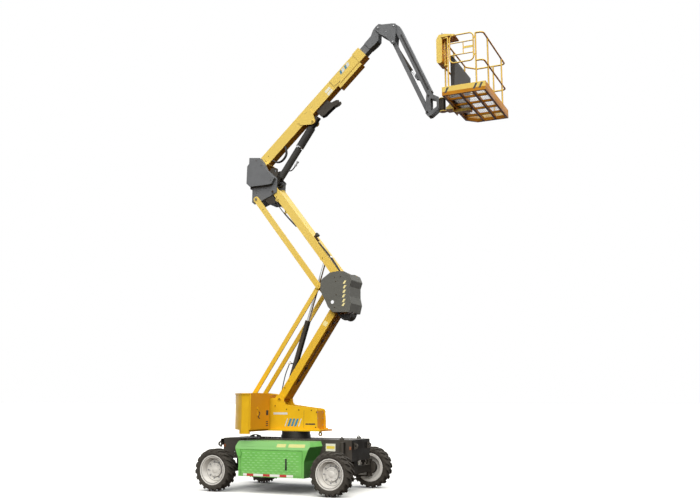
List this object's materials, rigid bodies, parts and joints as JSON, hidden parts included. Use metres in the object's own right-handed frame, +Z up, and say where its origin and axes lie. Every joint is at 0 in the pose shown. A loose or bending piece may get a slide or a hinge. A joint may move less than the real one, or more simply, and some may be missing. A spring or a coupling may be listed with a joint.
{
  "type": "articulating boom lift",
  "caption": "Articulating boom lift: battery chassis, slewing turntable, two folding risers, telescoping boom, jib and railed work platform.",
  "frame": {"origin": "slew axis at floor level, under the middle of the wheelbase", "axes": "+Z up, +X the way the boom points, +Y to the left of it"},
  "size_m": [6.2052, 2.266, 9.8202],
  "materials": {
    "yellow_paint": "semi-gloss yellow enamel",
    "green_paint": "semi-gloss green enamel",
    "grey_paint": "satin grey enamel",
    "chassis_paint": "satin near-black enamel",
    "dark_plastic": "matt dark grey moulding",
    "rim_paint": "off-white wheel paint",
    "tyre_rubber": "matt black-brown rubber",
    "bare_steel": "machined steel",
    "rod_chrome": "hard chrome",
    "cast_weight": "painted casting",
    "battery_case": "plain block standing for the batteries"
  },
  "bodies": {
    "chassis": {"chassis_frame": "chassis_paint", "front_axle": "chassis_paint", "rear_axle": "chassis_paint", "axle_cylinders": "chassis_paint", "battery_box_right": "green_paint", "battery_box_left": "green_paint", "battery_packs": "battery_case", "slew_ring": "bare_steel"},
    "battery_door_right": {"battery_door_right": "green_paint"},
    "battery_door_left": {"battery_door_left": "green_paint"},
    "steer_right": {"knuckle_right": "chassis_paint"},
    "steer_left": {"knuckle_left": "chassis_paint"},
    "tie_rod": {"tie_rod": "chassis_paint"},
    "turntable": {"slew_race": "bare_steel", "turntable_frame": "yellow_paint", "control_cabinet": "yellow_paint", "pump_housing": "yellow_paint", "counterweight": "cast_weight"},
    "cabinet_door": {"cabinet_door": "yellow_paint"},
    "pump_door": {"pump_door": "yellow_paint"},
    "riser_1": {"riser_1": "yellow_paint"},
    "lower_links": {"lower_links": "yellow_paint"},
    "mid_knuckle": {"mid_knuckle": "yellow_paint", "mid_cover": "dark_plastic"},
    "riser_2": {"riser_2": "yellow_paint"},
    "upper_link": {"upper_link": "yellow_paint"},
    "upper_knuckle": {"upper_knuckle": "grey_paint", "upper_cover": "grey_paint", "upper_hose_guide": "chassis_paint"},
    "riser_barrel": {"riser_cylinder_barrel": "chassis_paint"},
    "riser_rod": {"riser_cylinder_rod": "rod_chrome"},
    "boom": {"boom": "yellow_paint", "boom_hose_guide": "chassis_paint"},
    "fly": {"fly": "grey_paint"},
    "boom_barrel": {"boom_cylinder_barrel": "chassis_paint"},
    "boom_rod": {"boom_cylinder_rod": "chassis_paint"},
    "jib_base": {"jib_base": "grey_paint"},
    "jib_tube": {"jib_tube": "grey_paint"},
    "jib_link": {"jib_link": "grey_paint"},
    "jib_barrel": {"jib_cylinder_barrel": "chassis_paint"},
    "jib_rod": {"jib_cylinder_rod": "rod_chrome"},
    "jib_bracket": {"jib_bracket": "grey_paint", "rotator": "chassis_paint"},
    "platform": {"platform_mount": "yellow_paint", "platform_floor": "yellow_paint", "toe_boards": "yellow_paint", "floor_mesh": "bare_steel", "platform_rails": "yellow_paint", "console": "yellow_paint", "platform_apron": "dark_plastic"},
    "gate": {"platform_gate": "yellow_paint"},
    "wheel_front_right": {"tyre_front_right": "tyre_rubber", "rim_front_right": "rim_paint"},
    "wheel_front_left": {"tyre_front_left": "tyre_rubber", "rim_front_left": "rim_paint"},
    "wheel_rear_right": {"tyre_rear_right": "tyre_rubber", "rim_rear_right": "rim_paint"},
    "wheel_rear_left": {"tyre_rear_left": "tyre_rubber", "rim_rear_left": "rim_paint"}
  },
  "joints": [
    {"name": "steer_left", "type": "hinge", "parent": "chassis", "child": "steer_left", "pos_m": [1.305, 0.8, 0.42], "axis": [0, 0, 1], "range_deg": [-30, 30]},
    {"name": "steer_right", "type": "hinge", "parent": "chassis", "child": "steer_right", "pos_m": [1.305, -0.8, 0.42], "axis": [0, 0, 1], "range_deg": [-30, 30]},
    {"name": "tie_rod_shift", "type": "slide", "parent": "chassis", "child": "tie_rod", "axis": [0, 1, 0], "range_m": [-0.1, 0.1]},
    {"name": "wheel_front_right_spin", "type": "hinge", "parent": "steer_right", "child": "wheel_front_right", "pos_m": [1.305, -0.978, 0.42], "axis": [0, 1, 0], "continuous": true},
    {"name": "wheel_front_left_spin", "type": "hinge", "parent": "steer_left", "child": "wheel_front_left", "pos_m": [1.305, 0.978, 0.42], "axis": [0, 1, 0], "continuous": true},
    {"name": "wheel_rear_right_spin", "type": "hinge", "parent": "chassis", "child": "wheel_rear_right", "pos_m": [-1.305, -0.978, 0.42], "axis": [0, 1, 0], "continuous": true},
    {"name": "wheel_rear_left_spin", "type": "hinge", "parent": "chassis", "child": "wheel_rear_left", "pos_m": [-1.305, 0.978, 0.42], "axis": [0, 1, 0], "continuous": true},
    {"name": "battery_door_right_open", "type": "hinge", "parent": "chassis", "child": "battery_door_right", "pos_m": [-0.678, -1.06, 0.59], "axis": [0, 0, -1], "range_deg": [0, 95]},
    {"name": "battery_door_left_open", "type": "hinge", "parent": "chassis", "child": "battery_door_left", "pos_m": [-0.678, 1.06, 0.59], "axis": [0, 0, 1], "range_deg": [0, 95]},
    {"name": "slew", "type": "hinge", "parent": "chassis", "child": "turntable", "pos_m": [0, 0, 1.1], "axis": [0, 0, 1], "range_deg": [-177.5, 177.5]},
    {"name": "cabinet_door_open", "type": "hinge", "parent": "turntable", "child": "cabinet_door", "pos_m": [-0.485, -0.298, 1.58], "axis": [0, 0, 1], "range_deg": [0, 95]},
    {"name": "pump_door_open", "type": "hinge", "parent": "turntable", "child": "pump_door", "pos_m": [-0.165, 0.298, 1.4175], "axis": [0, 0, -1], "range_deg": [0, 95]},
    {"name": "riser_lift", "type": "hinge", "parent": "turntable", "child": "riser_1", "pos_m": [-0.289, 0, 1.83], "axis": [0, -1, 0], "range_deg": [-50, 7]},
    {"name": "lower_links_turn", "type": "hinge", "parent": "turntable", "child": "lower_links", "pos_m": [-0.917, 0, 1.894], "axis": [0, -1, 0], "range_deg": [-50, 7]},
    {"name": "mid_knuckle_level", "type": "hinge", "parent": "riser_1", "child": "mid_knuckle", "pos_m": [1.24491, 0, 4.09557], "axis": [0, -1, 0], "range_deg": [-7, 50]},
    {"name": "riser_2_lift", "type": "hinge", "parent": "mid_knuckle", "child": "riser_2", "pos_m": [1.00291, 0, 4.30957], "axis": [0, -1, 0], "range_deg": [-6.68, 47.1]},
    {"name": "upper_link_turn", "type": "hinge", "parent": "mid_knuckle", "child": "upper_link", "pos_m": [0.61691, 0, 4.15957], "axis": [0, -1, 0], "range_deg": [-6.68, 47.1]},
    {"name": "upper_knuckle_level", "type": "hinge", "parent": "riser_2", "child": "upper_knuckle", "pos_m": [-0.53436, 0, 6.32024], "axis": [0, -1, 0], "range_deg": [-47.1, 6.68]},
    {"name": "riser_barrel_swing", "type": "hinge", "parent": "riser_1", "child": "riser_barrel", "pos_m": [-0.18196, 0, 2.05944], "axis": [0, -1, 0], "range_deg": [-5.5, 1.2]},
    {"name": "riser_rod_stroke", "type": "slide", "parent": "riser_barrel", "child": "riser_rod", "axis": [0.2991, 0, 0.9542], "range_m": [-1.14288, 0.1643]},
    {"name": "boom_lift", "type": "hinge", "parent": "upper_knuckle", "child": "boom", "pos_m": [-0.82236, 0, 6.93624], "axis": [0, -1, 0], "range_deg": [-42, 28]},
    {"name": "boom_barrel_swing", "type": "hinge", "parent": "boom", "child": "boom_barrel", "pos_m": [0.38136, 0, 7.83361], "axis": [0, -1, 0], "range_deg": [-2, 2]},
    {"name": "boom_rod_stroke", "type": "slide", "parent": "boom_barrel", "child": "boom_rod", "axis": [-0.5805, 0, -0.8142], "range_m": [-0.34222, 0.22981]},
    {"name": "telescope", "type": "slide", "parent": "boom", "child": "fly", "axis": [0.7385, 0, 0.6743], "range_m": [0, 2.4]},
    {"name": "jib_level", "type": "hinge", "parent": "fly", "child": "jib_base", "pos_m": [1.95226, 0, 9.7244], "axis": [0, -1, 0], "range_deg": [-28, 42]},
    {"name": "jib_lift", "type": "hinge", "parent": "jib_base", "child": "jib_tube", "pos_m": [2.31126, 0, 9.7014], "axis": [0, -1, 0], "range_deg": [-4, 130]},
    {"name": "jib_link_turn", "type": "hinge", "parent": "jib_base", "child": "jib_link", "pos_m": [2.28826, 0, 9.3434], "axis": [0, -1, 0], "range_deg": [-4, 130]},
    {"name": "platform_level", "type": "hinge", "parent": "jib_tube", "child": "jib_bracket", "pos_m": [3.05227, 0, 8.02923], "axis": [0, -1, 0], "range_deg": [-130, 4]},
    {"name": "jib_barrel_swing", "type": "hinge", "parent": "jib_base", "child": "jib_barrel", "pos_m": [2.28826, 0, 9.3434], "axis": [0, -1, 0], "range_deg": [-4.5, 130]},
    {"name": "jib_rod_stroke", "type": "slide", "parent": "jib_barrel", "child": "jib_rod", "axis": [0.4905, 0, -0.8715], "range_m": [-0.02632, 0.69798]},
    {"name": "platform_turn", "type": "hinge", "parent": "jib_bracket", "child": "platform", "pos_m": [3.33827, 0, 7.80023], "axis": [0, 0, 1], "range_deg": [-85, 85]},
    {"name": "gate_open", "type": "hinge", "parent": "platform", "child": "gate", "pos_m": [4.29827, -0.88, 8.55423], "axis": [0, 0, -1], "range_deg": [0, 90]}
  ],
  "couplings": [
    {"joint": "steer_right", "follows": "steer_left", "ratio": 1},
    {"joint": "tie_rod_shift", "follows": "steer_left", "m_per_rad": -0.186},
    {"joint": "lower_links_turn", "follows": "riser_lift", "ratio": 1},
    {"joint": "mid_knuckle_level", "follows": "riser_lift", "ratio": -1},
    {"joint": "riser_2_lift", "follows": "riser_lift", "ratio": -0.94},
    {"joint": "upper_link_turn", "follows": "riser_lift", "ratio": -0.94},
    {"joint": "upper_knuckle_level", "follows": "riser_lift", "ratio": 0.94},
    {"joint": "riser_barrel_swing", "follows": "riser_lift", "ratio": 0.1},
    {"joint": "riser_rod_stroke", "follows": "riser_lift", "m_per_rad": 1.3039},
    {"joint": "boom_barrel_swing", "follows": "boom_lift", "ratio": -0.03},
    {"joint": "boom_rod_stroke", "follows": "boom_lift", "m_per_rad": 0.46003},
    {"joint": "jib_level", "follows": "boom_lift", "ratio": -1},
    {"joint": "jib_link_turn", "follows": "jib_lift", "ratio": 1},
    {"joint": "platform_level", "follows": "jib_lift", "ratio": -1},
    {"joint": "jib_barrel_swing", "follows": "jib_lift", "ratio": 0.973},
    {"joint": "jib_rod_stroke", "follows": "jib_lift", "m_per_rad": 0.30542}
  ]
}
